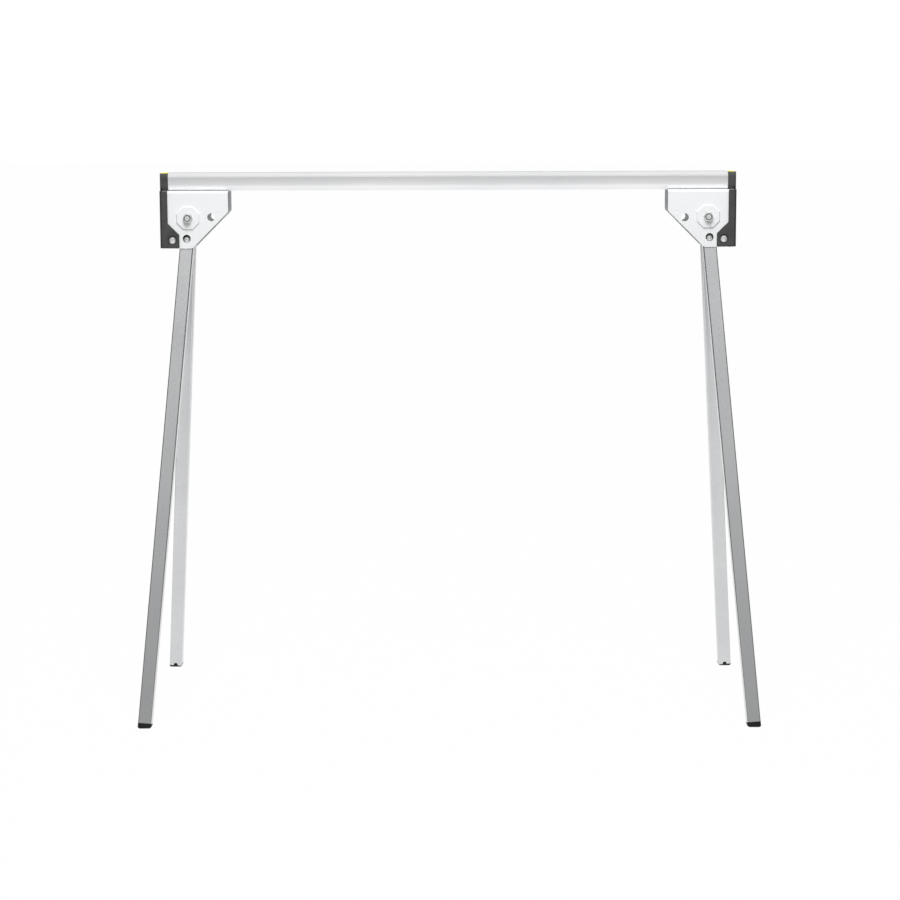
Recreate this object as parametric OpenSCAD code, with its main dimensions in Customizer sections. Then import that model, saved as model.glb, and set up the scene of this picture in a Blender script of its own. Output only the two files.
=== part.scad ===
// Folding sawhorse: a top rail on two end brackets, each with a clevis and a pair of splayed legs.
// Millimetres. +X runs along the rail, -Y is the front, +Z is up. The origin is on the floor under
// the middle of the rail. The legs are drawn open, as the horse stands.

/* [Overall] */
// Length over the two end caps
overall_length = 900; // [880:1:1300]
// Height of the top face of the rail
work_height = 840; // [700:1:845]

/* [Rail] */
// Width of the rail, front to back
rail_width = 45; // [38:0.5:52]
// Height of the rail
rail_height = 28; // [22:0.5:40]
// Wall of the rail
rail_wall = 1.5; // [1:0.1:2.5]
// Radius of the rail's long edges
rail_corner = 8; // [3:0.1:9]

/* [End caps] */
// Length of a cap outside the rail
cap_length = 13; // [8:0.5:20]
// Gap between the plug's end and the nearest rivet in the rail
cap_plug_gap = 1; // [0.5:0.1:3]
// Wall of the plug
cap_plug_wall = 2.5; // [1.5:0.1:4]
// Gap between the plug and the rail's wall
cap_clearance = 0.2; // [0.1:0.05:0.5]
// Width of the bevel down the outer edges of a cap
cap_bevel = 1.6; // [0.8:0.1:3]
// How far that bevel runs back round the end
cap_bevel_back = 4; // [2:0.1:6]
// Width of the groove between the cap and the rail
cap_groove = 1.2; // [0.6:0.1:2]
// Depth of that groove
cap_groove_depth = 1; // [0.5:0.1:1.5]
// Thickness of the pad on a cap
pad_thickness = 2.5; // [1.5:0.1:4]
// How far the pad stands above the cap
pad_proud = 0.8; // [0.3:0.1:1.2]
// Cap left bare around the pad
pad_margin = 1.5; // [1:0.1:3]

/* [Brackets] */
// Thickness of the pressed plate
plate = 2; // [1.5:0.1:3]
// Width over the two plates
bracket_width = 60; // [58:0.5:70]
// Outer radius of the bend between web and plate
bracket_bend = 4; // [3.2:0.1:7]
// Reach of a plate from the pivot towards the middle
bracket_reach = 62.8; // [58:0.5:75]
// Height of the plate's inner corner above the pivot
bracket_shoulder = 9.3; // [4:0.1:14]
// Depth of the plates below the pivot
bracket_drop = 47.5; // [44:0.5:50]
// Radius at the upper end of the slanted edge
bracket_shoulder_r = 5; // [2:0.5:9]
// Radius at the lower end of the slanted edge
bracket_foot_r = 8; // [2:0.5:9]
// Pivot below the rail's underside
pivot_drop = 42; // [40:0.5:50]
// Pivot in from the end of the caps
pivot_inset = 44; // [41:0.5:50]
// Size of the eight-sided boss across its flats
boss_across = 37; // [33:0.5:40]
// Height of the boss
boss_height = 2; // [1:0.1:2.4]
// Width of the boss's sloping edge
boss_slope = 1.5; // [1.2:0.1:3]
// Dimple's place, in from the pivot
dimple_in = 49; // [46:0.5:53]
// Dimple's place, above the pivot
dimple_up = 8; // [6:0.5:12]
// Diameter of the dimple
dimple_d = 4.5; // [3:0.1:6]

/* [Rivets] */
// Shank of a bracket rivet
rivet_d = 5; // [4:0.1:6]
// Head of a bracket rivet
rivet_head_d = 10; // [8:0.1:11]
// Thickness of a bracket rivet's head
rivet_head = 1.6; // [1:0.1:2]
// Outer bracket rivets, from the pivot towards the end
rivet_out = 15; // [8:0.5:17]
// Inner bracket rivets, from the pivot towards the middle
rivet_in = 50; // [46:0.5:54]
// Spacing of the bracket rivets across the rail
rivet_spacing = 20; // [16:0.5:21]
// Head of a cover rivet
cover_rivet_d = 11; // [9:0.1:12]
// Height of a cover rivet's domed head
cover_rivet_head = 2.2; // [1.5:0.1:3]

/* [End covers] */
// Wall of the cover at the end
cover_wall = 3; // [2:0.1:4]
// Cheek of the cover outside a plate
cover_cheek = 3.2; // [2.4:0.1:4]
// Width of the cover along the upper plate
cover_strip = 12.5; // [10:0.5:14]
// Width of the cover at its foot
cover_foot = 30.2; // [27:0.1:31]
// Level below the pivot where the cover widens
cover_step = 8.4; // [5:0.1:12]
// Cover's lower edge above the plates' lower edge
cover_lift = 0.5; // [0.2:0.1:2]
// Cover rivet above the plates' lower edge
cover_rivet_up = 12.8; // [11:0.1:15]
// Cover rivet in from the end of the cover
cover_rivet_in = 19.3; // [17:0.1:20]
// Depth of the recess round the cover rivet
cover_recess = 2; // [0.4:0.1:2.2]

// Width of the bevel down the outer edges of a cover
cover_bevel = 3.5; // [1:0.1:4]
// How far that bevel runs back round the end
cover_bevel_back = 6; // [3:0.1:8]
// Height of the bevel along a cover's lower edges
cover_under = 2.4; // [1:0.1:4]
// How far that bevel runs in under the cover
cover_under_back = 4; // [2:0.1:5]

/* [Pivot] */
// Diameter of the pivot bolt
bolt_d = 8; // [6:0.5:10]
// Bolt head and nut across their flats
bolt_flats = 13; // [11:0.5:17]
// Thickness of the bolt head
bolt_head = 5.3; // [4:0.1:7]
// Height of the lock nut
nut_height = 8; // [6:0.1:10]
// Outer diameter of the pivot sleeve
sleeve_d = 13; // [12.5:0.1:15]
// Radial gap of every turning fit
running_gap = 0.05; // [0.02:0.01:0.09]
// Outer diameter of the spacer washers
washer_d = 26; // [20:0.5:27]
// Gap beside each spacer washer
washer_gap = 0.2; // [0.1:0.05:0.4]

/* [Clevis] */
// Wall of the clevis
clevis_wall = 2; // [1.5:0.1:2.5]
// Gap between the clevis and a bracket plate
clevis_gap = 1; // [0.6:0.1:1.5]
// Top of the clevis above the pivot
clevis_top = 11; // [10:0.5:13]
// Clevis end walls reach this far below the pivot
clevis_bridge = 13; // [11:0.5:15]
// Clevis side walls reach this far below the splay pins
clevis_lip = 6; // [5.5:0.1:7]
// Gap between a leg and the clevis side wall
leg_side_gap = 0.5; // [0.3:0.05:1]

/* [Splay pins] */
// Diameter of a splay pin
pin_d = 6; // [5:0.1:6.5]
// Splay pins below the pivot
pin_drop = 32; // [31:0.5:34]
// Head of a splay pin
pin_head_d = 9; // [8:0.1:10.5]
// Thickness of a splay pin's head
pin_head = 1.2; // [0.8:0.1:1.5]

/* [Legs] */
// Outside size of the square leg tube
tube = 21; // [20:0.1:22]
// Wall of the leg tube
tube_wall = 1.2; // [1:0.1:1.5]
// Corner radius of the leg tube
tube_corner = 2.2; // [1.8:0.1:3]
// Gap between the closed legs
leg_gap = 3; // [2.4:0.1:4]
// Leg tube above its splay pin
tube_head = 5; // [4.5:0.1:5.5]
// Slope of each leg to the front or the back, in degrees
leg_splay = 14.6; // [11:0.1:15]
// Lean of each leg towards its end of the rail, in degrees
leg_lean = 4.5; // [2:0.1:5.5]

/* [Feet] */
// Height of the tube's lowest corner above the floor
foot_show = 2.3; // [1.5:0.1:5]
// Length of the plug inside the tube
foot_plug_length = 22; // [12:1:40]
// Gap between the foot plug and the tube's wall
foot_clearance = 0.1; // [0.05:0.05:0.3]
// Rounding of the foot's lower edge
foot_round = 2; // [1:0.1:2.2]
// Face of the key below the face of the tube
foot_key_inset = 0.2; // [0.1:0.05:0.5]
// Width of the notch that keys the plug
notch_width = 6.5; // [4:0.1:9]
// Height of the notch
notch_height = 4.5; // [3.5:0.1:8]

/* [Lock buttons] */
// Diameter of a lock button
button_d = 11.6; // [9:0.1:12]
// Radial gap between a button and its lock holes
lock_gap = 0.5; // [0.4:0.05:0.8]
// Radial gap between a button and its hole in the tube
button_gap = 0.1; // [0.05:0.01:0.2]
// Button's axis below the splay pin, along the leg
button_drop = 4.5; // [4:0.1:5.5]
// Height of the button's dome
button_dome = 2.6; // [2:0.1:3]
// How far a button springs out into its lock hole
button_travel = 2.5; // [2:0.1:2.6]
// Gap between a pushed-in button and the plate
button_shy = 0.35; // [0.3:0.05:0.8]
// Flange of the button inside the tube
button_flange_d = 14.5; // [13:0.1:15]
// Thickness of the flange
button_flange = 1.4; // [1:0.1:2]
// Thickness of the spring strip
spring_strip = 0.8; // [0.5:0.05:1]
// Width of the spring strip
spring_width = 8; // [6:0.5:10]
// Length of the spring's straight arms below the button
spring_length = 46; // [30:1:70]

/* [Folding] */
// Folded left legs slope up, and folded right legs slope down, by this angle
fold_slope = 2; // [1.8:0.1:2.1]

/* [Hidden] */
$fn = 48;
// Ends of the rail and faces of the horse
left = -1;
right = 1;
front = -1;
back = 1;
// Overshoot of cutting shapes
cut = 1;

steel_light = "gainsboro";
steel_tube = "silver";
moulded_dark = "dimgray";

rail_length = overall_length - 2 * cap_length;
rail_under = work_height - rail_height;
pivot_x = overall_length / 2 - pivot_inset;
pivot_z = rail_under - pivot_drop;

// The blind rivets' bulbs inside the rail, and the cap plug that stops short of them
rivet_bulb_d = rivet_d + 3;
cap_plug_length = pivot_inset - cap_length - rivet_out - rivet_bulb_d / 2 - cap_plug_gap;

// The brackets, measured from the pivot
plate_outer = bracket_width / 2;
plate_inner = plate_outer - plate;
bracket_back = pivot_inset - cover_wall - 0.5;
web_top = pivot_drop;
// The plate's slanted edge runs at 45 degrees down from the shoulder
slant_end = bracket_reach - bracket_shoulder - bracket_drop;
boss_outer = plate_outer + boss_height;
boss_inner = plate_inner + boss_height;

// The clevis, measured from the pivot
clevis_half = tube / 2 + leg_side_gap + clevis_wall;
clevis_end = plate_inner - clevis_gap;
clevis_bottom = pin_drop + clevis_lip;

// A leg, measured from its splay pin: +Y is away from the other leg, -Z runs down the leg
pin_y = (leg_gap + tube) / 2;
tube_bore = tube - 2 * tube_wall;
// The splay pin's height in the open horse
pin_z = pivot_z - pin_drop * cos(leg_lean);
// The tube's lowest corner is on its inner face, on the side towards the middle of the horse
corner_drop = tube / 2 * (sin(leg_splay) * cos(leg_lean) + sin(leg_lean));
tube_below = (pin_z - corner_drop - foot_show) / (cos(leg_splay) * cos(leg_lean));

// A pushed-in button's tip keeps its gap to the plate at every angle of the leg
button_tip = sqrt(pow(plate_inner - button_shy - pin_y, 2) - pow(button_drop, 2));
lock_hole_d = button_d + 2 * lock_gap;
fold_hole_reach = pin_drop + button_drop;
// Where the open leg's button meets the middle of the plate
open_hole_out = (plate_outer - plate / 2 - pin_y - button_drop * sin(leg_splay)) / cos(leg_splay);
open_hole_drop = pin_drop - open_hole_out * sin(leg_splay) + button_drop * cos(leg_splay);
// Back of the flange, which leaves the button its travel inside the tube's wall
flange_back = tube_bore / 2 - button_travel - 0.3 - button_flange;
// Riveted end of the button behind the spring strip
stud_head = 0.6;

// Points of an arc about centre c
function arc(c, r, from, to, steps = 8) =
    [for (i = [0 : steps]) let (a = from + (to - from) * i / steps) c + r * [cos(a), sin(a)]];

// A rounded rectangle made of true squares and circles
module rounded_rect(w, h, r) {
    square([w - 2 * r, h], center = true);
    square([w, h - 2 * r], center = true);
    for (x = [-1, 1], y = [-1, 1])
        translate([x * (w / 2 - r), y * (h / 2 - r)]) circle(r = r);
}

// A rounded bar along X
module bar_x(length, w, h, r) {
    rotate([90, 0, 90]) linear_extrude(length, center = true) rounded_rect(w, h, r);
}

// A cylinder along Y between two levels
module rod_y(d, y0, y1) {
    translate([0, y0, 0]) rotate([-90, 0, 0]) cylinder(d = d, h = y1 - y0);
}

// A cylinder along X between two levels
module rod_x(d, x0, x1) {
    translate([x0, 0, 0]) rotate([0, 90, 0]) cylinder(d = d, h = x1 - x0);
}

// Cuts a bevel along Z off the corner where x = 0 meets y = reach, on the front and the back
module bevel_cut(width, depth, reach, z0, z1) {
    slope = depth / width;
    both_faces() translate([0, 0, z0]) linear_extrude(z1 - z0)
        polygon([[-cut, reach - depth - cut * slope], [width + cut, reach + cut * slope],
                 [-cut, reach + cut * slope]]);
}

// An eight-sided raised shape that stands on z = 0
module octagon_pad(across, slope, h) {
    intersection_for(a = [0, 45, 90, 135])
        rotate([0, 0, a]) rotate([90, 0, 0]) linear_extrude(2 * across, center = true)
            polygon([[-across / 2, 0], [across / 2, 0], [across / 2 - slope, h], [slope - across / 2, h]]);
}

// A shallow dome of a given diameter and height, on z = 0
module dome(d, h) {
    r = (d * d / 4 + h * h) / (2 * h);
    intersection() {
        translate([0, 0, h - r]) sphere(r = r);
        cylinder(d = d + cut, h = h + cut);
    }
}

// Both sides, front and back
module both_faces() {
    children();
    mirror([0, 1, 0]) children();
}

// From the left pivot's frame, with +X towards the middle of the rail, to either end
module at_end(side) {
    if (side == left)
        translate([-pivot_x, 0, pivot_z]) children();
    else
        mirror([1, 0, 0]) translate([-pivot_x, 0, pivot_z]) children();
}

// From the clevis frame to the open horse
module on_clevis(side) {
    at_end(side) rotate([0, leg_lean, 0]) children();
}

// From a leg's frame to the open horse
module on_leg(side, face) {
    on_clevis(side) mirror([0, face == front ? 1 : 0, 0])
        translate([0, pin_y, -pin_drop]) rotate([leg_splay, 0, 0]) children();
}

// ---- Rail ----

module top_rail() {
    color(steel_light) translate([0, 0, work_height - rail_height / 2]) difference() {
        bar_x(rail_length, rail_width, rail_height, rail_corner);
        bar_x(rail_length + cut, rail_width - 2 * rail_wall, rail_height - 2 * rail_wall,
              rail_corner - rail_wall);
        for (side = [left, right], u = [rivet_out, -rivet_in], v = [-1, 1])
            translate([side * (pivot_x + u), v * rivet_spacing / 2, -rail_height])
                cylinder(d = rivet_d, h = rail_height);
    }
}

module rail_end_cap(side) {
    plug_w = rail_width - 2 * (rail_wall + cap_clearance);
    plug_h = rail_height - 2 * (rail_wall + cap_clearance);
    plug_r = rail_corner - rail_wall;
    color(moulded_dark) mirror([side == right ? 1 : 0, 0, 0])
        translate([-overall_length / 2, 0, work_height - rail_height / 2]) difference() {
            union() {
                translate([cap_length / 2, 0, 0])
                    bar_x(cap_length, rail_width, rail_height, rail_corner);
                translate([cap_length + cap_plug_length / 2, 0, 0])
                    bar_x(cap_plug_length, plug_w, plug_h, plug_r);
            }
            translate([cap_length + cap_plug_length / 2 + cap_plug_wall, 0, 0])
                bar_x(cap_plug_length, plug_w - 2 * cap_plug_wall, plug_h - 2 * cap_plug_wall, plug_r);
            bevel_cut(cap_bevel, cap_bevel_back, rail_width / 2, -rail_height, rail_height);
            translate([cap_length - cap_groove / 2, 0, 0]) difference() {
                bar_x(cap_groove, rail_width + 2 * cut, rail_height + 2 * cut, rail_corner + cut);
                bar_x(cap_groove + cut, rail_width - 2 * cap_groove_depth, rail_height - 2 * cap_groove_depth,
                      rail_corner - cap_groove_depth);
            }
            // The whole top is lowered, and the pad sits deeper in its own pocket
            translate([cap_length / 2, 0, rail_height / 2 - pad_proud + cut / 2])
                cube([cap_length + 2 * cut, rail_width + cut, cut], center = true);
            pad_space(0);
        }
}

// The space of a cap's pad, in the cap's frame
module pad_space(shrink) {
    translate([cap_length / 2, 0, rail_height / 2 - pad_thickness])
        linear_extrude(pad_thickness) rounded_rect(cap_length - 2 * pad_margin - 2 * shrink,
            rail_width - 2 * rail_corner - 2 * shrink, pad_margin);
}

module cap_pad(side) {
    color("gold") mirror([side == right ? 1 : 0, 0, 0])
        translate([-overall_length / 2, 0, work_height - rail_height / 2]) pad_space(0);
}

// ---- Brackets ----

// Outline of a plate, seen from the front of the left end
module plate_outline() {
    top_r = bracket_shoulder_r;
    low_r = bracket_foot_r;
    polygon(concat(
        [[-bracket_back, web_top], [bracket_reach, web_top]],
        arc([bracket_reach - top_r, bracket_shoulder + top_r * tan(22.5)], top_r, 0, -45),
        arc([slant_end - low_r * tan(22.5), low_r - bracket_drop], low_r, -45, -90),
        [[-bracket_back, -bracket_drop]]));
}

// Cross-section of the bracket: an inverted U with bent corners
module bracket_section() {
    depth = web_top + bracket_drop;
    inner_bend = bracket_bend - plate;
    translate([0, -bracket_drop]) difference() {
        union() {
            translate([-plate_outer, 0]) square([bracket_width, depth - bracket_bend]);
            translate([bracket_bend - plate_outer, 0]) square([bracket_width - 2 * bracket_bend, depth]);
            for (s = [-1, 1])
                translate([s * (plate_outer - bracket_bend), depth - bracket_bend]) circle(r = bracket_bend);
        }
        translate([-plate_inner, -cut])
            square([2 * plate_inner, depth - bracket_bend + cut]);
        translate([bracket_bend - plate_outer, -cut])
            square([bracket_width - 2 * bracket_bend, depth - plate + cut]);
        for (s = [-1, 1])
            translate([s * (plate_outer - bracket_bend), depth - bracket_bend]) circle(r = inner_bend);
    }
}

// Stands children, drawn on the XY plane with +Z outwards, on both plates at a height y
module on_plates(y) {
    both_faces() translate([0, y, 0]) rotate([-90, 0, 0]) mirror([0, 1, 0]) children();
}

module bracket(side) {
    fold_up = side == left ? fold_slope : -fold_slope;
    color(steel_light) at_end(side) difference() {
        union() {
            intersection() {
                translate([-bracket_back, 0, 0]) rotate([90, 0, 90])
                    linear_extrude(bracket_back + bracket_reach) bracket_section();
                rotate([90, 0, 0]) linear_extrude(bracket_width + cut, center = true) plate_outline();
            }
            on_plates(plate_outer) octagon_pad(boss_across, boss_slope, boss_height);
        }
        // Hollow behind the boss, and the pivot's hole
        on_plates(plate_inner) translate([0, 0, -0.01])
            octagon_pad(boss_across - 2, boss_slope, boss_height + 0.01);
        rod_y(bolt_d + 4 * running_gap, -boss_outer - cut, boss_outer + cut);
        // Lock hole of the open legs
        rotate([0, leg_lean, 0]) translate([0, 0, -open_hole_drop])
            rod_y(lock_hole_d, -plate_outer - cut, plate_outer + cut);
        // Lock hole of the folded legs
        rotate([0, -fold_up, 0]) translate([fold_hole_reach, 0, 0])
            rod_y(lock_hole_d, -plate_outer - cut, plate_outer + cut);
        on_plates(plate_outer) translate([dimple_in, dimple_up, dimple_d / 2 - plate / 2])
            sphere(d = dimple_d);
        // Rivet holes to the rail and to the cover
        for (u = [-rivet_out, rivet_in], v = [-1, 1])
            translate([u, v * rivet_spacing / 2, web_top - plate - cut])
                cylinder(d = rivet_d, h = plate + 2 * cut);
        cover_rivet_place() rod_y(rivet_d, -plate_outer - cut, plate_outer + cut);
    }
}

module bracket_rivets(side) {
    grip = plate + rail_wall;
    color("silver") at_end(side)
        for (u = [-rivet_out, rivet_in], v = [-1, 1])
            translate([u, v * rivet_spacing / 2, web_top - plate]) {
                mirror([0, 0, 1]) dome(rivet_head_d, rivet_head);
                cylinder(d = rivet_d, h = grip + 1);
                translate([0, 0, grip]) cylinder(d = rivet_bulb_d, h = 4);
            }
}

// ---- End covers ----

module cover_rivet_place() {
    translate([cover_rivet_in - pivot_inset, 0, cover_rivet_up - bracket_drop]) children();
}

module end_cover(side) {
    outer = plate_outer + cover_cheek;
    low = cover_lift - bracket_drop;
    widen = cover_foot - cover_strip;
    color(moulded_dark) at_end(side) translate([-pivot_inset, 0, 0]) difference() {
        rotate([90, 0, 0]) linear_extrude(2 * outer, center = true)
            polygon([[0, low], [cover_foot, low], [cover_foot, -cover_step - widen],
                     [cover_strip, -cover_step], [cover_strip, web_top], [0, web_top]]);
        translate([cover_wall, -plate_outer, low - cut])
            cube([cover_foot, bracket_width, web_top - low + 2 * cut]);
        bevel_cut(cover_bevel, cover_bevel_back, outer, low - cut, web_top + cut);
        // The same bevel along the lower edges, turned to run along X
        translate([-cut, 0, low]) rotate([0, 90, 0]) mirror([1, 0, 0])
            bevel_cut(cover_under, cover_under_back, outer, 0, cover_foot + 2 * cut);
        translate([pivot_inset, 0, 0]) cover_rivet_place() {
            rod_y(rivet_d, -outer - cut, outer + cut);
            both_faces() rod_y(cover_rivet_d + 3, outer - cover_recess, outer + cut);
        }
    }
}

module cover_rivets(side) {
    seat = plate_outer + cover_cheek - cover_recess;
    color("lightgray") at_end(side) cover_rivet_place() both_faces() {
        translate([0, seat, 0]) rotate([-90, 0, 0]) dome(cover_rivet_d, cover_rivet_head);
        rod_y(rivet_d, plate_inner - 0.5, seat + 0.5);
        rod_y(rivet_d + 2, plate_inner - 1, plate_inner);
    }
}

// ---- Pivot ----

module pivot_bolt(side) {
    color("silver") at_end(side) {
        rod_y(bolt_d, -boss_outer - nut_height - 1, boss_outer);
        translate([0, boss_outer, 0]) rotate([-90, 0, 0]) hex_head(bolt_head);
    }
}

// A hexagon with its outer corners turned off, on z = 0
module hex_head(h) {
    corner_d = bolt_flats / cos(30);
    intersection() {
        cylinder(d = corner_d, h = h, $fn = 6);
        translate([0, 0, h / 2 - corner_d * 0.86]) sphere(r = corner_d, $fn = 96);
    }
}

module pivot_nut(side) {
    collar_d = bolt_flats - 1.5;
    hex_height = 0.75 * nut_height;
    color("silver") at_end(side) translate([0, -boss_outer, 0]) rotate([90, 0, 0]) difference() {
        union() {
            hex_head(hex_height);
            cylinder(d = collar_d, h = nut_height);
        }
        translate([0, 0, -cut]) cylinder(d = bolt_d, h = nut_height + 2 * cut);
        translate([0, 0, nut_height - 2]) cylinder(d = bolt_d + 2.4, h = 2 + cut);
    }
}

module nut_ring(side) {
    color("darkslategray") at_end(side) translate([0, 0.4 - boss_outer - nut_height, 0]) rotate([-90, 0, 0])
        difference() {
            cylinder(d = bolt_d + 2.4, h = 1.6);
            translate([0, 0, -cut]) cylinder(d = bolt_d, h = 1.6 + 2 * cut);
        }
}

module pivot_sleeve(side) {
    color("gray") at_end(side) difference() {
        rod_y(sleeve_d, -boss_inner, boss_inner);
        rod_y(bolt_d + 2 * running_gap, -boss_inner - cut, boss_inner + cut);
    }
}

module pivot_washers(side) {
    color("dimgray") at_end(side) both_faces() difference() {
        rod_y(washer_d, clevis_end + washer_gap, boss_inner);
        rod_y(sleeve_d + 2 * running_gap, clevis_end - cut, boss_inner + cut);
    }
}

// ---- Clevis and legs ----

module leg_clevis(side) {
    half_in = clevis_half - clevis_wall;
    end_in = clevis_end - clevis_wall;
    side_height = clevis_top + clevis_bottom;
    color("darkgray") on_clevis(side) difference() {
        union() {
            translate([-clevis_half, -clevis_end, -clevis_bridge])
                cube([2 * clevis_half, 2 * clevis_end, clevis_top + clevis_bridge]);
            translate([-clevis_half, -clevis_end, -clevis_bottom])
                cube([2 * clevis_half, 2 * clevis_end, side_height]);
        }
        // Room for the legs, open below and at both ends under the bridge
        translate([-half_in, -end_in, -clevis_bottom - cut])
            cube([2 * half_in, 2 * end_in, side_height - clevis_wall + cut]);
        translate([-half_in, -clevis_end - cut, -clevis_bottom - cut])
            cube([2 * half_in, 2 * clevis_end + 2 * cut, clevis_bottom - clevis_bridge + cut]);
        rod_y(sleeve_d + 2 * running_gap, -clevis_end - cut, clevis_end + cut);
        both_faces() translate([0, pin_y, -pin_drop])
            rod_x(pin_d, -clevis_half - cut, clevis_half + cut);
    }
}

module splay_pin(side, face) {
    color("silver") on_clevis(side) translate([0, face * pin_y, -pin_drop]) {
        rod_x(pin_d, -clevis_half, clevis_half);
        rod_x(pin_head_d, -clevis_half - pin_head, -clevis_half);
        rod_x(pin_head_d - 1, clevis_half, clevis_half + pin_head / 2);
    }
}

module leg_tube(side, face) {
    color(steel_tube) on_leg(side, face) difference() {
        translate([0, 0, -tube_below])
            linear_extrude(tube_below + tube_head) difference() {
                rounded_rect(tube, tube, tube_corner);
                rounded_rect(tube_bore, tube_bore, tube_corner - tube_wall);
            }
        rod_x(pin_d + 2 * running_gap, -tube, tube);
        translate([0, 0, -button_drop]) rod_y(button_d + 2 * button_gap, 0, tube / 2 + cut);
        foot_key(0, -tube / 2 - cut, cut - tube_bore / 2);
    }
}

// The key of a foot plug through the inner wall of its tube, between two levels
module foot_key(shrink, y0, y1) {
    w = notch_width - 2 * shrink;
    rise = notch_height - notch_width / 2;
    translate([0, y1, -tube_below]) rotate([90, 0, 0]) linear_extrude(y1 - y0) {
        translate([0, rise]) circle(d = w);
        translate([-w / 2, -cut / 2]) square([w, rise + cut / 2]);
    }
}

// The part of a foot between two levels over the floor
module foot_slice(side, face, low, high, inset) {
    length = 2 * tube;
    intersection() {
        on_leg(side, face) translate([0, 0, -tube_below - length])
            linear_extrude(length) rounded_rect(tube - 2 * inset, tube - 2 * inset, tube_corner);
        translate([0, 0, (low + high) / 2])
            cube([2 * overall_length, 2 * overall_length, high - low], center = true);
    }
}

module foot_plug(side, face) {
    skin = 0.05;
    insert = tube_bore - 2 * foot_clearance;
    color("#2a2a2a") {
        hull($fn = 32) {
            foot_slice(side, face, foot_round, 2 * tube, 0);
            foot_slice(side, face, 0, foot_round / 2, foot_round);
        }
        on_leg(side, face) {
            translate([0, 0, -tube_below - cut / 2]) linear_extrude(foot_plug_length + cut / 2)
                rounded_rect(insert, insert, tube_corner - tube_wall);
            foot_key(skin, foot_key_inset - tube / 2, cut - insert / 2);
        }
    }
}

module lock_button(side, face) {
    shoulder = button_tip - button_dome;
    strip_back = flange_back - spring_strip;
    color("silver") on_leg(side, face) translate([0, 0, -button_drop]) {
        translate([0, shoulder, 0]) rotate([-90, 0, 0]) dome(button_d, button_dome);
        rod_y(button_d - 2, flange_back, shoulder + cut / 4);
        rod_y(button_d, flange_back, shoulder);
        rod_y(button_flange_d, flange_back, flange_back + button_flange);
        rod_y(spring_width / 2 - 2 * button_gap, strip_back - stud_head, flange_back + cut / 4);
        rod_y(spring_width / 2 + 1, strip_back - stud_head, strip_back);
    }
}

module button_spring(side, face) {
    inner_y = -tube_bore / 2;
    bend_r = (flange_back - inner_y) / 2;
    bend_z = -button_drop - spring_length;
    inner_top = -button_drop - button_flange_d / 2;
    color("gray") on_leg(side, face) difference() {
        rotate([90, 0, 90]) linear_extrude(spring_width, center = true) {
            translate([flange_back - spring_strip, bend_z])
                square([spring_strip, spring_length + button_flange_d / 2 - 1]);
            translate([inner_y, bend_z]) square([spring_strip, inner_top - bend_z]);
            translate([inner_y + bend_r, bend_z]) difference() {
                circle(r = bend_r);
                circle(r = bend_r - spring_strip);
                translate([-bend_r - cut, 0]) square([2 * (bend_r + cut), bend_r + cut]);
            }
        }
        translate([0, 0, -button_drop])
            rod_y(spring_width / 2, flange_back - 2 * spring_strip, flange_back + cut);
    }
}

top_rail();
rail_end_cap(left);  // rail_end_cap_left
rail_end_cap(right);  // rail_end_cap_right
cap_pad(left);  // cap_pad_left
cap_pad(right);  // cap_pad_right
bracket(left);  // bracket_left
bracket(right);  // bracket_right
bracket_rivets(left);  // bracket_rivets_left
bracket_rivets(right);  // bracket_rivets_right
end_cover(left);  // end_cover_left
end_cover(right);  // end_cover_right
cover_rivets(left);  // cover_rivets_left
cover_rivets(right);  // cover_rivets_right
pivot_bolt(left);  // pivot_bolt_left
pivot_bolt(right);  // pivot_bolt_right
pivot_nut(left);  // pivot_nut_left
pivot_nut(right);  // pivot_nut_right
nut_ring(left);  // nut_ring_left
nut_ring(right);  // nut_ring_right
pivot_sleeve(left);  // pivot_sleeve_left
pivot_sleeve(right);  // pivot_sleeve_right
pivot_washers(left);  // pivot_washers_left
pivot_washers(right);  // pivot_washers_right
leg_clevis(left);  // leg_clevis_left
leg_clevis(right);  // leg_clevis_right
splay_pin(left, front);  // splay_pin_front_left
splay_pin(left, back);  // splay_pin_back_left
splay_pin(right, front);  // splay_pin_front_right
splay_pin(right, back);  // splay_pin_back_right
leg_tube(left, front);  // leg_tube_front_left
leg_tube(left, back);  // leg_tube_back_left
leg_tube(right, front);  // leg_tube_front_right
leg_tube(right, back);  // leg_tube_back_right
foot_plug(left, front);  // foot_plug_front_left
foot_plug(left, back);  // foot_plug_back_left
foot_plug(right, front);  // foot_plug_front_right
foot_plug(right, back);  // foot_plug_back_right
lock_button(left, front);  // lock_button_front_left
lock_button(left, back);  // lock_button_back_left
lock_button(right, front);  // lock_button_front_right
lock_button(right, back);  // lock_button_back_right
button_spring(left, front);  // button_spring_front_left
button_spring(left, back);  // button_spring_back_left
button_spring(right, front);  // button_spring_front_right
button_spring(right, back);  // button_spring_back_right
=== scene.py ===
import math

import bmesh
import bpy
from mathutils import Matrix, Vector


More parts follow.
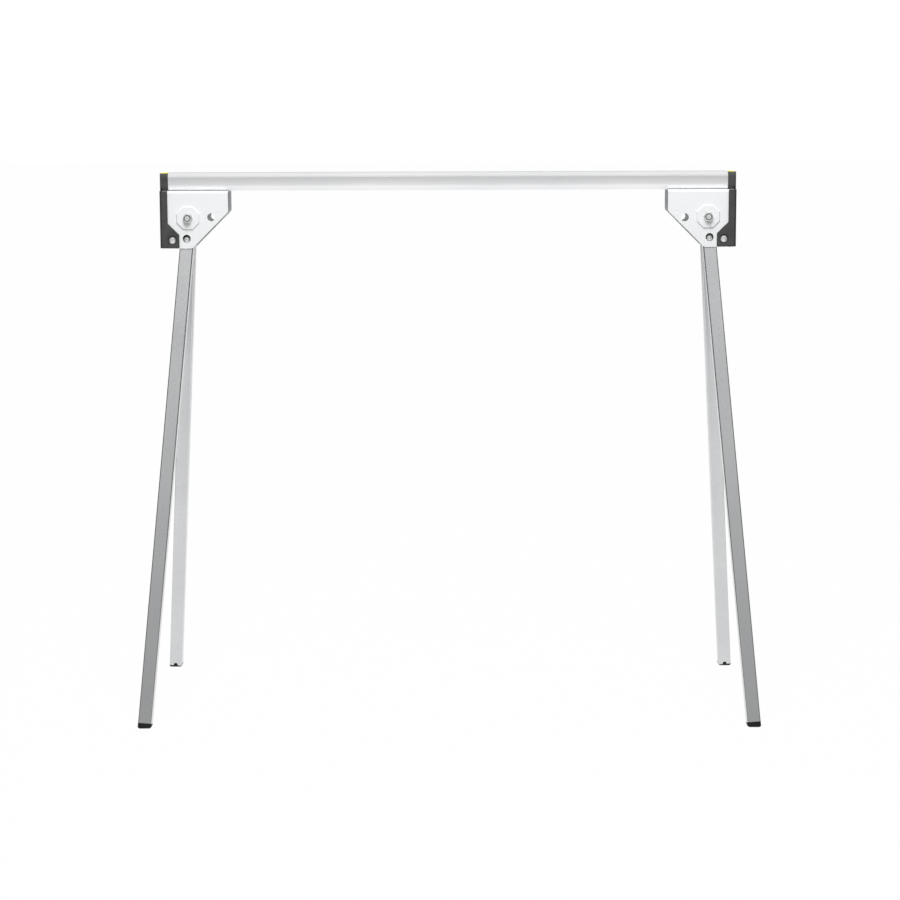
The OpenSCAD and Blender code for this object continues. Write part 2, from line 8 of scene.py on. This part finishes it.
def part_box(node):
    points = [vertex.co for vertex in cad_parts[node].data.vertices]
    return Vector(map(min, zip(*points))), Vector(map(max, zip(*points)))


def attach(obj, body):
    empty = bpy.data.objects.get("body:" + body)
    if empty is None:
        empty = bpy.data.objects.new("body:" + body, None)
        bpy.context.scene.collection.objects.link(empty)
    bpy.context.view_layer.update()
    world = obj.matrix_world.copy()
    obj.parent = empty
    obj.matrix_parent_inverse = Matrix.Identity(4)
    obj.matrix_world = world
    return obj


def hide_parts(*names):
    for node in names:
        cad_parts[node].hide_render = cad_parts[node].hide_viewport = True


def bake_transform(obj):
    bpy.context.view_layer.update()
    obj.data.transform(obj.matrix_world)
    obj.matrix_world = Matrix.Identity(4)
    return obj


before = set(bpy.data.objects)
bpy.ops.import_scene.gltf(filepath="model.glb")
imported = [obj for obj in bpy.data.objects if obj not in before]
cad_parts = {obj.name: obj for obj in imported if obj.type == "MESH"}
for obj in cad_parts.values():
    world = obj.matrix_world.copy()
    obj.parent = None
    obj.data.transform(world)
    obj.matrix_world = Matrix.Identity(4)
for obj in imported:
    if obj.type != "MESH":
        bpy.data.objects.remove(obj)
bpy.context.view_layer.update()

# ---------------------------------------------------------------------------
# Studio. A white floor and a white room, one broad soft lamp high in front, a
# weaker one behind, and a long lens at chest height.
# ---------------------------------------------------------------------------
scene = bpy.context.scene
scene.view_settings.view_transform = "Standard"


def linear(hex_colour):
    """An sRGB hex colour as linear red, green, blue and alpha."""
    parts = [int(hex_colour[i:i + 2], 16) / 255 for i in (1, 3, 5)]
    return [c / 12.92 if c <= 0.04045 else ((c + 0.055) / 1.055) ** 2.4 for c in parts] + [1.0]


def add(tree, kind, links=None, **settings):
    """Adds a node. A setting in_NAME sets the socket NAME, and links join other nodes' outputs to sockets."""
    node = tree.nodes.new(kind)
    for name, value in settings.items():
        if name.startswith("in_"):
            key = name[3:]
            node.inputs[int(key) if key.isdigit() else key.replace("_", " ")].default_value = value
        else:
            setattr(node, name, value)
    for socket, output in (links or {}).items():
        tree.links.new(output, node.inputs[socket])
    return node


def material_tree(name):
    """A new material with only its output node."""
    material = bpy.data.materials.new(name)
    material.use_nodes = True
    material.node_tree.nodes.clear()
    return material, material.node_tree


def mesh_object(name, mesh):
    piece = bpy.data.objects.new(name, mesh)
    scene.collection.objects.link(piece)
    return piece


camera = bpy.data.objects.new("camera", bpy.data.cameras.new("camera"))
scene.collection.objects.link(camera)
scene.camera = camera
camera_distance, camera_height = 3.750, 0.9335
camera_turn, camera_tilt, camera_roll = -0.0042, 0.1416, -0.0035
camera.data.sensor_width = 36.0
camera.data.lens = 36.0 * 2374.8 / 900
camera.data.shift_x = 0.0013
camera.data.clip_start, camera.data.clip_end = 0.1, 50.0
camera.location = (
    -camera_distance * math.sin(camera_turn), -camera_distance * math.cos(camera_turn), camera_height
)
camera.rotation_euler = (
    Matrix.Rotation(-camera_turn, 3, "Z")
    @ Matrix.Rotation(math.pi / 2 - camera_tilt, 3, "X")
    @ Matrix.Rotation(camera_roll, 3, "Z")
).to_euler()

floor_mesh = bpy.data.meshes.new("floor")
floor_mesh.from_pydata([(-40, -40, 0), (40, -40, 0), (40, 40, 0), (-40, 40, 0)], [], [(0, 1, 2, 3)])
floor = mesh_object("floor", floor_mesh)
white_paper, tree = material_tree("white_paper_floor")
path = add(tree, "ShaderNodeLightPath")
seen = add(tree, "ShaderNodeMath", {0: path.outputs["Is Camera Ray"]}, operation="MULTIPLY", in_1=0.965)
mirrored = add(
    tree, "ShaderNodeMath", {0: path.outputs["Is Glossy Ray"], 1: path.outputs["Is Transmission Ray"]},
    operation="MAXIMUM",
)
# A mirror at either end of the sawhorse sees the floor run out into the dark
spot = add(tree, "ShaderNodeSeparateXYZ", {0: add(tree, "ShaderNodeTexCoord").outputs["Object"]})
aside = add(tree, "ShaderNodeMath", {0: spot.outputs["X"]}, operation="ABSOLUTE")
fade = add(tree, "ShaderNodeMapRange", {0: aside.outputs[0]}, in_1=0.9, in_2=2.0, in_3=1.0, in_4=0.1)
mirrored = add(tree, "ShaderNodeMath", {0: mirrored.outputs[0], 1: fade.outputs[0]}, operation="MULTIPLY")
white_for = add(tree, "ShaderNodeMath", {0: seen.outputs[0], 1: mirrored.outputs[0]}, operation="MAXIMUM")
paper = add(tree, "ShaderNodeBsdfDiffuse", in_Color=linear("#848484"))
white = add(tree, "ShaderNodeEmission", in_Color=(1, 1, 1, 1), in_Strength=1.02)
mixed = add(tree, "ShaderNodeMixShader", {0: white_for.outputs[0], 1: paper.outputs[0], 2: white.outputs[0]})
add(tree, "ShaderNodeOutputMaterial", {0: mixed.outputs[0]})
floor_mesh.materials.append(white_paper)

# The room: white to the eye. For the light it is a white tent, dim in a ring at eye
# level and dark at the two ends. Each step is a place on the ramp and its brightness.
tent_steps = (
    (0.12, 0.7), (0.17, 0.15), (0.25, 0.3), (0.30, 0.5), (0.37, 0.62), (0.43, 1.2), (0.55, 0.72), (0.9, 0.9)
)
world = bpy.data.worlds.new("studio")
world.use_nodes = True
scene.world = world
tree = world.node_tree
tree.nodes.clear()
path = add(tree, "ShaderNodeLightPath")
ray = add(tree, "ShaderNodeTexCoord")
across = add(tree, "ShaderNodeSeparateXYZ", {0: ray.outputs["Generated"]})
sideways = add(tree, "ShaderNodeMath", {0: across.outputs["X"]}, operation="ABSOLUTE")
tent = add(tree, "ShaderNodeValToRGB", {0: across.outputs["Z"]})
for step, (height, shade) in enumerate(tent_steps):
    stop = tent.color_ramp.elements[step] if step < 2 else tent.color_ramp.elements.new(height)
    stop.position, stop.color = height, (shade, shade, shade, 1.0)
facing = add(tree, "ShaderNodeMapRange", {0: sideways.outputs[0]}, in_1=0.45, in_2=0.9, in_3=1.0, in_4=0.12)
level = add(tree, "ShaderNodeMath", {0: tent.outputs[0], 1: facing.outputs[0]}, operation="MULTIPLY")
room = add(tree, "ShaderNodeBackground", {1: level.outputs[0]}, in_Color=linear("#fdfdfd"))
backdrop = add(tree, "ShaderNodeBackground", in_Color=(1, 1, 1, 1), in_Strength=1.0)
mixed = add(
    tree, "ShaderNodeMixShader", {0: path.outputs["Is Camera Ray"], 1: room.outputs[0], 2: backdrop.outputs[0]}
)
add(tree, "ShaderNodeOutputWorld", {0: mixed.outputs[0]})


def soft_lamp(name, place, target, size, watts):
    """A broad lamp that lights surfaces but is mirrored in none of them."""
    lamp = bpy.data.lights.new(name, "AREA")
    lamp.shape, lamp.size, lamp.size_y, lamp.energy = "RECTANGLE", size[0], size[1], watts
    holder = bpy.data.objects.new(name, lamp)
    scene.collection.objects.link(holder)
    holder.location = place
    holder.visible_camera, holder.visible_glossy = False, False
    holder.rotation_euler = (Vector(target) - Vector(place)).to_track_quat("-Z", "Y").to_euler()


soft_lamp("key_lamp", (0.0, -1.8, 2.8), (0.0, 0.0, 0.6), (1.2, 1.6), 87)
soft_lamp("back_lamp", (0.0, 2.2, 2.2), (0.0, 0.0, 0.6), (1.8, 1.0), 20)

# ---------------------------------------------------------------------------
# Top rail. A closed box section, cold rolled from strip 1.5 mm thick and
# finished in a smooth silver lacquer. It keeps faint lines along its length.
# ---------------------------------------------------------------------------
ends = ("left", "right")
faces = ("front", "back")
mm = 0.001


def place_in(tree, scale=(1, 1, 1)):
    """Object coordinates in metres, scaled."""
    source = add(tree, "ShaderNodeTexCoord")
    mapping = add(tree, "ShaderNodeMapping", {"Vector": source.outputs["Object"]})
    mapping.inputs["Scale"].default_value = scale
    return mapping.outputs[0]


# The texture of coatings and mouldings is usually a few tenths of a millimetre or finer.
# That is too fine to show, so every grain_mm below is drawn coarser than real.
def coated_metal(name, base, shade, metallic, roughness, grain_mm, stretch, relief_mm):
    """A metal whose colour and roughness drift slowly, with fine lines along the axis that stretch shrinks."""
    material, tree = material_tree(name)
    lines = add(
        tree, "ShaderNodeTexNoise", {"Vector": place_in(tree, stretch)},
        in_Scale=1 / (grain_mm * mm), in_Detail=3.0, in_Roughness=0.6,
    )
    drift = add(
        tree, "ShaderNodeTexNoise", {"Vector": place_in(tree)}, in_Scale=9.0, in_Detail=2.0, in_Roughness=0.5
    )
    both = add(tree, "ShaderNodeMix", {2: lines.outputs[0], 3: drift.outputs[0]}, data_type="FLOAT", in_0=0.45)
    colour = add(tree, "ShaderNodeValToRGB", {0: both.outputs[0]})
    colour.color_ramp.elements[0].position, colour.color_ramp.elements[0].color = 0.33, linear(shade)
    colour.color_ramp.elements[1].position, colour.color_ramp.elements[1].color = 0.67, linear(base)
    rough = add(
        tree, "ShaderNodeMapRange", {0: both.outputs[0]},
        in_1=0.3, in_2=0.7, in_3=roughness + 0.05, in_4=roughness - 0.05,
    )
    bump = add(
        tree, "ShaderNodeBump", {"Height": lines.outputs[0]}, in_Strength=0.35, in_Distance=relief_mm * mm
    )
    skin = add(
        tree, "ShaderNodeBsdfPrincipled",
        {"Base Color": colour.outputs[0], "Roughness": rough.outputs[0], "Normal": bump.outputs[0]},
        in_Metallic=metallic,
    )
    add(tree, "ShaderNodeOutputMaterial", {0: skin.outputs[0]})
    return material


def dress(node, material):
    """Gives a CAD node its finish."""
    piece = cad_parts[node]
    piece.data.materials.clear()
    piece.data.materials.append(material)


# Silver lacquer over steel: pale, mostly metallic, a soft sheen, drawn lines along the rail
silver_lacquer = coated_metal(
    "silver_lacquer_rail", "#fbfbfc", "#f4f5f6", 0.95, 0.36, 1.6, (0.02, 1.0, 1.0), 0.012
)
rail_low, rail_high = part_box("top_rail")
rail_wall, rail_radius, side_bow = 1.5 * mm, 8 * mm, 1.2 * mm


def rail_outline(inset):
    """One closed outline of the rail's section. Rolling leaves its two sides a little crowned."""
    half_width = (rail_high[1] - rail_low[1]) / 2 - inset
    half_height = (rail_high[2] - rail_low[2]) / 2 - inset
    radius = rail_radius - inset
    middle = (rail_high[2] + rail_low[2]) / 2
    points = []
    for quarter, (sy, sz) in enumerate(((1, 1), (-1, 1), (-1, -1), (1, -1))):
        for step in range(13):
            turn = math.radians(90 * quarter + 7.5 * step)
            points.append((
                sy * (half_width - radius) + radius * math.cos(turn),
                sz * (half_height - radius) + radius * math.sin(turn),
            ))
        if quarter in (0, 2):
            continue
        points += [(sy * half_width, sz * (half_height - radius) * (1 - t / 4)) for t in range(1, 8)]
    return [(y * (1 - side_bow / half_width * (z / half_height) ** 2), middle + z) for y, z in points]


outer, inner = rail_outline(0), rail_outline(rail_wall)
count = len(outer)
rings = [(x, ring) for x in (rail_low[0], rail_high[0]) for ring in (outer, inner)]
shell = bpy.data.meshes.new("top_rail_lacquered")
turns = [(i, (i + 1) % count) for i in range(count)]
shell.from_pydata(
    [(x, y, z) for x, ring in rings for y, z in ring],
    [],
    [(i, 2 * count + i, 2 * count + j, j) for i, j in turns]
    + [(count + j, 3 * count + j, 3 * count + i, count + i) for i, j in turns]
    + [(i, j, count + j, count + i) for i, j in turns]
    + [(2 * count + j, 2 * count + i, 3 * count + i, 3 * count + j) for i, j in turns],
)
whole = bmesh.new()
whole.from_mesh(shell)
bmesh.ops.remove_doubles(whole, verts=whole.verts, dist=0.01 * mm)
bmesh.ops.recalc_face_normals(whole, faces=whole.faces)
whole.to_mesh(shell)
whole.free()
for face in shell.polygons:
    face.use_smooth = True
shell.set_sharp_from_angle(angle=math.radians(40))
shell.materials.append(silver_lacquer)
rail = mesh_object("top_rail_lacquered", shell)
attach(rail, "frame")
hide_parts("top_rail")

# ---------------------------------------------------------------------------
# Rail end caps. Injection-moulded charcoal nylon, pushed into each end of the
# rail. A yellow rubber pad lies in the top of each one.
# ---------------------------------------------------------------------------


def moulded(name, base, edge, roughness, grain_mm, relief_mm):
    """A moulded plastic or rubber: spark-eroded grain, and a little colour drift."""
    material, tree = material_tree(name)
    grain = add(
        tree, "ShaderNodeTexVoronoi", {"Vector": place_in(tree)}, feature="SMOOTH_F1",
        in_Scale=1 / (grain_mm * mm),
    )
    drift = add(tree, "ShaderNodeTexNoise", {"Vector": place_in(tree)}, in_Scale=60.0, in_Detail=4.0)
    colour = add(tree, "ShaderNodeValToRGB", {0: drift.outputs[0]})
    colour.color_ramp.elements[0].position, colour.color_ramp.elements[0].color = 0.35, linear(edge)
    colour.color_ramp.elements[1].position, colour.color_ramp.elements[1].color = 0.65, linear(base)
    bump = add(
        tree, "ShaderNodeBump", {"Height": grain.outputs[0]}, in_Strength=0.4, in_Distance=relief_mm * mm
    )
    rough = add(
        tree, "ShaderNodeMapRange", {0: drift.outputs[0]},
        in_1=0.3, in_2=0.7, in_3=roughness + 0.06, in_4=roughness - 0.06,
    )
    skin = add(
        tree, "ShaderNodeBsdfPrincipled",
        {"Base Color": colour.outputs[0], "Roughness": rough.outputs[0], "Normal": bump.outputs[0]},
    )
    skin.inputs["Specular IOR Level"].default_value = 0.2
    add(tree, "ShaderNodeOutputMaterial", {0: skin.outputs[0]})
    return material


def merged_copy(node, name):
    """A welded copy of a CAD node's mesh, with its flat faces joined up again."""
    piece = mesh_object(name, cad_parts[node].data.copy())
    shell = bmesh.new()
    shell.from_mesh(piece.data)
    bmesh.ops.remove_doubles(shell, verts=shell.verts, dist=0.004 * mm)
    bmesh.ops.dissolve_limit(
        shell, angle_limit=math.radians(0.6), verts=shell.verts, edges=shell.edges,
        use_dissolve_boundaries=False,
    )
    shell.to_mesh(piece.data)
    shell.free()
    return piece


def eased(node, width, angle=32.0, steps=2, body="frame", material=None):
    """A piece that stands for a CAD node, its edges eased as moulding, pressing or plating leaves them."""
    piece = merged_copy(node, node + "_eased")
    for face in piece.data.polygons:
        face.use_smooth = True
    ease = piece.modifiers.new("ease", "BEVEL")
    ease.width, ease.segments, ease.limit_method = width, steps, "ANGLE"
    ease.angle_limit, ease.use_clamp_overlap, ease.miter_outer = math.radians(angle), True, "MITER_ARC"
    flats = piece.modifiers.new("flats", "WEIGHTED_NORMAL")
    flats.mode, flats.weight, flats.keep_sharp = "FACE_AREA", 100, True
    whole = bpy.data.meshes.new_from_object(piece.evaluated_get(bpy.context.evaluated_depsgraph_get()))
    piece.modifiers.clear()
    piece.data = whole
    whole.materials.clear()
    whole.materials.append(material)
    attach(piece, body)
    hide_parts(node)


# Glass-filled nylon, black-grey, fine matt grain
charcoal_nylon = moulded("charcoal_nylon_moulding", "#494949", "#404041", 0.52, 0.7, 0.03)
# Natural rubber, yellow, dull
yellow_rubber = moulded("yellow_rubber_pad", "#efe25a", "#e4d64c", 0.62, 0.9, 0.05)
for end in ends:
    eased(f"rail_end_cap_{end}", 0.4 * mm, material=charcoal_nylon)
    eased(f"cap_pad_{end}", 0.35 * mm, material=yellow_rubber)

# ---------------------------------------------------------------------------
# End brackets. Steel 2 mm thick, blanked, bent to an inverted U and pressed
# with an eight-sided boss, then lacquered pale silver. Riveted to the rail.
# ---------------------------------------------------------------------------
# The same lacquer on sheet: paler than the rail, and with no drawn lines
sheet_lacquer = coated_metal(
    "silver_lacquer_sheet", "#f0f1f2", "#eaebec", 0.2, 0.5, 2.2, (1.0, 1.0, 1.0), 0.012
)
rivet_aluminium = coated_metal(
    "rivet_aluminium", "#cfd0d2", "#bdbec0", 1.0, 0.38, 0.8, (1.0, 1.0, 1.0), 0.01
)


def riveting_tree():
    """Sets a domed rivet on each point of a mesh: head, shank through the grip, and formed tail."""
    tree = bpy.data.node_groups.new("riveting", "GeometryNodeTree")
    tree.is_modifier = True
    face = tree.interface
    face.new_socket("Geometry", in_out="INPUT", socket_type="NodeSocketGeometry")
    for name in ("Head Width", "Head Height", "Shank Width", "Grip", "Tail Width", "Tail Height"):
        face.new_socket(name, in_out="INPUT", socket_type="NodeSocketFloat")
    face.new_socket("Material", in_out="INPUT", socket_type="NodeSocketMaterial")
    face.new_socket("Geometry", in_out="OUTPUT", socket_type="NodeSocketGeometry")
    sizes = add(tree, "NodeGroupInput").outputs

    def half(width):
        return add(tree, "ShaderNodeMath", {0: width}, operation="MULTIPLY", in_1=0.5).outputs[0]

    head_size = add(
        tree, "ShaderNodeCombineXYZ",
        {0: half(sizes["Head Width"]), 1: half(sizes["Head Width"]), 2: sizes["Head Height"]},
    )
    ball = add(tree, "GeometryNodeMeshUVSphere", in_Segments=32, in_Rings=20, in_Radius=1.0)
    head = add(tree, "GeometryNodeTransform", {"Geometry": ball.outputs[0], "Scale": head_size.outputs[0]})
    grip_back = add(tree, "ShaderNodeMath", {0: half(sizes["Grip"])}, operation="MULTIPLY", in_1=-1.0)
    shank_place = add(tree, "ShaderNodeCombineXYZ", {2: grip_back.outputs[0]})
    shank = add(
        tree, "GeometryNodeMeshCylinder", {"Radius": half(sizes["Shank Width"]), "Depth": sizes["Grip"]},
        in_Vertices=32,
    )
    shank = add(
        tree, "GeometryNodeTransform", {"Geometry": shank.outputs[0], "Translation": shank_place.outputs[0]}
    )
    tail_middle = add(
        tree, "ShaderNodeMath", {0: sizes["Grip"], 1: half(sizes["Tail Height"])}, operation="ADD"
    )
    tail_back = add(tree, "ShaderNodeMath", {0: tail_middle.outputs[0]}, operation="MULTIPLY", in_1=-1.0)
    tail_place = add(tree, "ShaderNodeCombineXYZ", {2: tail_back.outputs[0]})
    tail = add(
        tree, "GeometryNodeMeshCylinder", {"Radius": half(sizes["Tail Width"]), "Depth": sizes["Tail Height"]},
        in_Vertices=32,
    )
    tail = add(
        tree, "GeometryNodeTransform", {"Geometry": tail.outputs[0], "Translation": tail_place.outputs[0]}
    )
    rivet = add(tree, "GeometryNodeJoinGeometry")
    for part in (head, shank, tail):
        tree.links.new(part.outputs[0], rivet.inputs[0])
    outward = add(tree, "GeometryNodeInputNamedAttribute", data_type="FLOAT_VECTOR", in_Name="outward")
    aim = add(tree, "FunctionNodeAlignRotationToVector", {"Vector": outward.outputs[0]}, axis="Z")
    set_on = add(
        tree, "GeometryNodeInstanceOnPoints",
        {"Points": sizes["Geometry"], "Instance": rivet.outputs[0], "Rotation": aim.outputs[0]},
    )
    real = add(tree, "GeometryNodeRealizeInstances", {"Geometry": set_on.outputs[0]})
    coated = add(tree, "GeometryNodeSetMaterial", {"Geometry": real.outputs[0], "Material": sizes["Material"]})
    add(tree, "NodeGroupOutput", {0: coated.outputs[0]})
    return tree


riveting = riveting_tree()


def rivets(node, places, outward, material, slot, **sizes):
    """The rivets that stand for a CAD node, one at each place, each facing its outward direction."""
    points = bpy.data.meshes.new(node + "_places")
    points.from_pydata(places, [], [])
    aim = points.attributes.new("outward", "FLOAT_VECTOR", "POINT")
    for value, direction in zip(aim.data, outward):
        value.vector = direction
    piece = mesh_object(node + "_set", points)
    work = piece.modifiers.new("riveting", "NODES")
    work.node_group = riveting
    for socket in riveting.interface.items_tree:
        if socket.in_out == "INPUT" and socket.name != "Geometry":
            key = socket.name.lower().replace(" ", "_")
            work[socket.identifier] = material if key == "material" else sizes[key]
    whole = bpy.data.meshes.new_from_object(piece.evaluated_get(bpy.context.evaluated_depsgraph_get()))
    piece.modifiers.clear()
    piece.data = whole
    for part in whole.polygons:
        part.use_smooth = True
    whole.set_sharp_from_angle(angle=math.radians(35))
    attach(piece, "frame")
    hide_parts(node)


for end in ends:
    eased(f"bracket_{end}", 0.35 * mm, angle=25.0, material=sheet_lacquer)
    low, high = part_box(f"bracket_rivets_{end}")
    head_width, head_height = 10 * mm, 1.6 * mm
    rivets(
        f"bracket_rivets_{end}",
        [
            (x, y, low[2] + head_height)
            for x in (low[0] + head_width / 2, high[0] - head_width / 2)
            for y in (low[1] + head_width / 2, high[1] - head_width / 2)
        ],
        [(0, 0, -1)] * 4, rivet_aluminium, "rivet_steel",
        head_width=head_width, head_height=head_height, shank_width=5 * mm, grip=3.5 * mm, tail_width=8 * mm,
        tail_height=4 * mm,
    )

# ---------------------------------------------------------------------------
# End covers. The same charcoal nylon as the caps, moulded as a shell that
# wraps the outer edge of a bracket. One rivet holds it through each plate.
# ---------------------------------------------------------------------------
# Bright zinc on steel: rivets, bolts, nuts and lock buttons
bright_zinc = coated_metal("bright_zinc_plate", "#eeefef", "#dfe0e0", 0.85, 0.38, 1.2, (1.0, 1.0, 1.0), 0.01)
for end in ends:
    eased(f"end_cover_{end}", 0.4 * mm, angle=22.0, material=charcoal_nylon)
    low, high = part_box(f"cover_rivets_{end}")
    head_height, cover_seat = 2.2 * mm, 31.2 * mm
    rivets(
        f"cover_rivets_{end}",
        [((low[0] + high[0]) / 2, side * cover_seat, (low[2] + high[2]) / 2) for side in (-1, 1)],
        [(0, -1, 0), (0, 1, 0)], bright_zinc, "bright_steel",
        head_width=high[0] - low[0], head_height=head_height, shank_width=5 * mm, grip=3.2 * mm,
        tail_width=7 * mm, tail_height=1 * mm,
    )

# ---------------------------------------------------------------------------
# Leg pivots. An M8 bolt from the back through a steel sleeve, with a lock nut
# and its black nylon ring in front, and a spacer washer beside each plate.
# ---------------------------------------------------------------------------
dull_zinc = coated_metal("dull_zinc_plate", "#bcbdbe", "#a5a6a8", 1.0, 0.42, 1.5, (1.0, 1.0, 1.0), 0.02)
black_nylon = moulded("black_nylon_ring", "#17181a", "#121315", 0.4, 0.8, 0.02)
for end in ends:
    eased(f"pivot_bolt_{end}", 0.25 * mm, angle=28.0, material=bright_zinc)
    eased(f"pivot_nut_{end}", 0.25 * mm, angle=28.0, material=bright_zinc)
    dress(f"nut_ring_{end}", black_nylon)
    dress(f"pivot_sleeve_{end}", dull_zinc)
    dress(f"pivot_washers_{end}", dull_zinc)

# ---------------------------------------------------------------------------
# Leg clevises. Folded from 2 mm strip and zinc plated. Each turns on its
# pivot sleeve and holds two legs on riveted pins, hidden between the plates.
# ---------------------------------------------------------------------------
for end in ends:
    eased(f"leg_clevis_{end}", 0.5 * mm, body=f"clevis_{end}", material=dull_zinc)
    for face in faces:
        dress(f"splay_pin_{face}_{end}", bright_zinc)

# ---------------------------------------------------------------------------
# Legs. Square steel tube, 21 mm with a 1.2 mm wall, zinc plated and drawn
# bright along its length. Each ends in a black foot plug keyed in its notch.
# ---------------------------------------------------------------------------
zinc_tube = coated_metal("zinc_plated_tube", "#d6d7d8", "#cbcccd", 0.95, 0.24, 1.4, (1.0, 1.0, 0.02), 0.012)
black_rubber = moulded("black_rubber_foot", "#1d1d1e", "#161617", 0.55, 0.8, 0.04)
blue_spring = coated_metal("blued_spring_strip", "#6b6f76", "#575a60", 1.0, 0.35, 1.0, (1.0, 1.0, 0.1), 0.01)
strip_thickness, leg_splay = 0.8 * mm, math.radians(14.6)


def sprung(place):
    """A lock button's hairpin spring, whose outer arm goes with the button and inner arm stays with the leg;
    here it is one welded copy of its CAD node in blued strip, not split between them.
    """
    side = -1 if place.startswith("front") else 1
    out = Vector((0.0, side * math.cos(leg_splay), math.sin(leg_splay)))
    piece = merged_copy(f"button_spring_{place}", f"button_spring_{place}_bending")
    piece.data.materials.clear()
    piece.data.materials.append(blue_spring)
    middle = sum((v.co for v in piece.data.vertices), Vector()) / len(piece.data.vertices)
    middle -= out * middle.dot(out)
    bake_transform(piece)
    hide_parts(f"button_spring_{place}")


for end in ends:
    for face in faces:
        place = f"{face}_{end}"
        dress(f"leg_tube_{place}", zinc_tube)
        eased(f"foot_plug_{place}", 0.3 * mm, body=f"leg_{place}", material=black_rubber)
        eased(
            f"lock_button_{place}", 0.25 * mm, angle=28.0, body=f"button_{place}", material=bright_zinc,
        )
        sprung(place)
